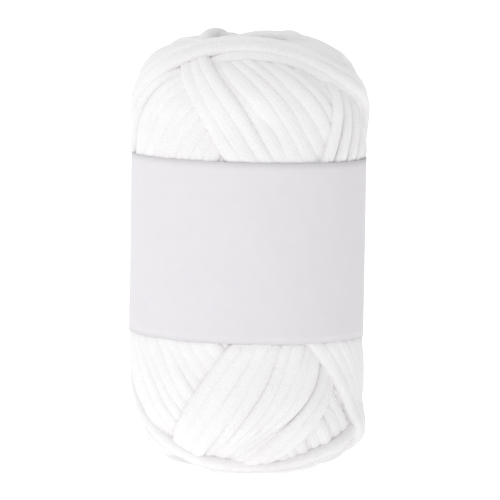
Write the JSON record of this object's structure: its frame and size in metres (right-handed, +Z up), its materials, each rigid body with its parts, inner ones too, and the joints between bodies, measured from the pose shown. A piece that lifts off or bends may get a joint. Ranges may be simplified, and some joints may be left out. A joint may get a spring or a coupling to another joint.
{
  "type": "ball of tape yarn",
  "caption": "Chunky soft tape yarn machine-wound into an upright centre-pull ball with rounded ends, held round its middle by a wide plain paper band.",
  "frame": {"origin": "middle of the footprint, on the surface the ball stands on", "axes": "+Z up along the ball's length, -Y the side that the picture shows, +X to the right in the picture"},
  "size_m": [0.0806, 0.0801, 0.1469],
  "materials": {
    "tape_yarn": "matt soft white knitted tape, slightly fuzzy",
    "band_paper": "smooth pale lilac-grey uncoated paper, bare"
  },
  "bodies": {
    "root": {"yarn_ball": "tape_yarn", "label_band": "band_paper"}
  },
  "joints": []
}
